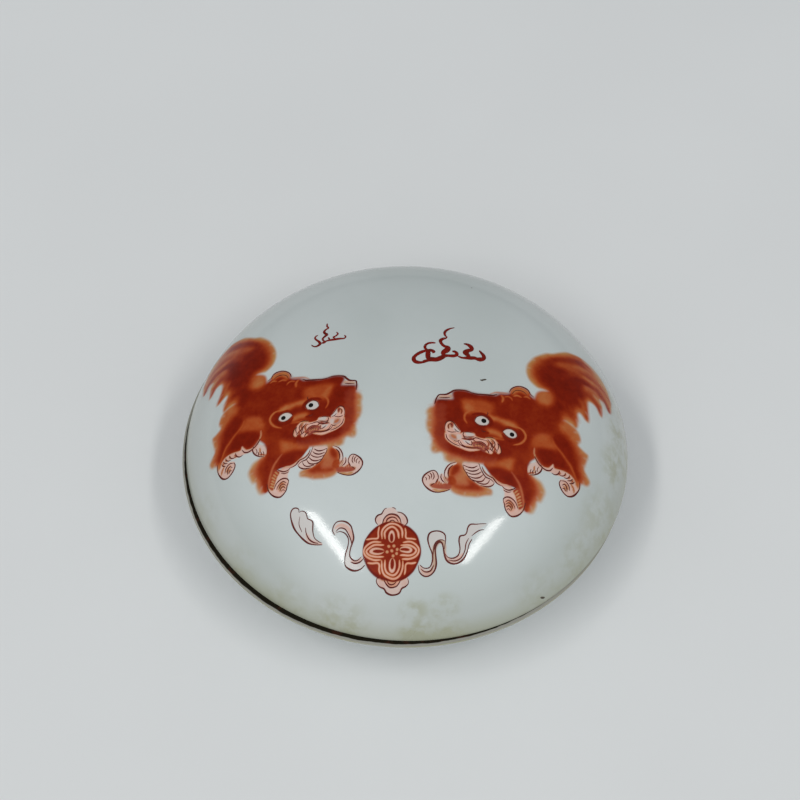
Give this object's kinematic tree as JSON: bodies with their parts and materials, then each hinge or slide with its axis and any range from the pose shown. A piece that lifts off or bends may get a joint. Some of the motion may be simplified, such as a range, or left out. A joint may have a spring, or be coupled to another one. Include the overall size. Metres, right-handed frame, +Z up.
{
  "type": "seal paste box",
  "caption": "Round porcelain seal paste box: a domed lid that lifts off a shallow footed base, whose upstanding flange fits inside the lid, with red paste inside.",
  "frame": {"origin": "centre of the foot ring's flat face, on the axis of the base", "axes": "+Z up along the axis of the box, +X to the right and +Y to the back as the painting on the lid is seen"},
  "size_m": [0.0904, 0.091, 0.0365],
  "materials": {
    "porcelain": "glossy clear glaze on bluish white porcelain, worn and stained at the seam",
    "iron_red_enamel": "thin glossy overglaze enamel, painted in washes and fine lines",
    "seal_paste": "oily cinnabar paste with short fibres, softly shining"
  },
  "bodies": {
    "root": {"base": "porcelain", "seal_paste": "seal_paste"},
    "lid": {"lid": "porcelain"}
  },
  "joints": [
    {"name": "lid_lift", "type": "slide", "parent": "root", "child": "lid", "axis": [0, 0, 1], "range_m": [0, 0.06]}
  ]
}
